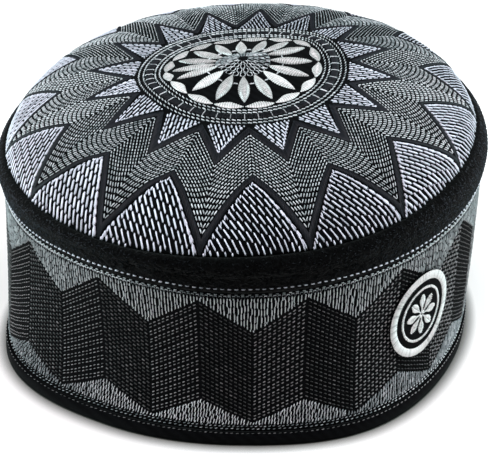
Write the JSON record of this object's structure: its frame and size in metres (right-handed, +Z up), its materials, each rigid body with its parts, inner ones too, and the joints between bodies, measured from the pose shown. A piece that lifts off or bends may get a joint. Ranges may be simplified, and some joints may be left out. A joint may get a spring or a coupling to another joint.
{
  "type": "kufi cap",
  "caption": "Round embroidered kufi cap with a domed crown, a padded rim roll, a stiff side band, a bound hem and a sewn oval patch; open below for the head.",
  "frame": {"origin": "middle of the footprint on the surface that the cap rests on", "axes": "+Z up through the crown, -Y towards the front, +X towards the cap's right as the picture shows it"},
  "size_m": [0.1958, 0.1948, 0.11],
  "materials": {
    "crown_embroidery": "satin thread embroidery on black cloth",
    "black_twill": "matte brushed cloth",
    "band_embroidery": "running stitch embroidery on black cloth",
    "hem_tape": "matte woven binding",
    "patch_thread": "satin stitch"
  },
  "bodies": {
    "root": {"crown": "crown_embroidery", "crown_welt": "black_twill", "side_band": "band_embroidery", "hem_binding": "hem_tape", "side_patch": "patch_thread"}
  },
  "joints": []
}
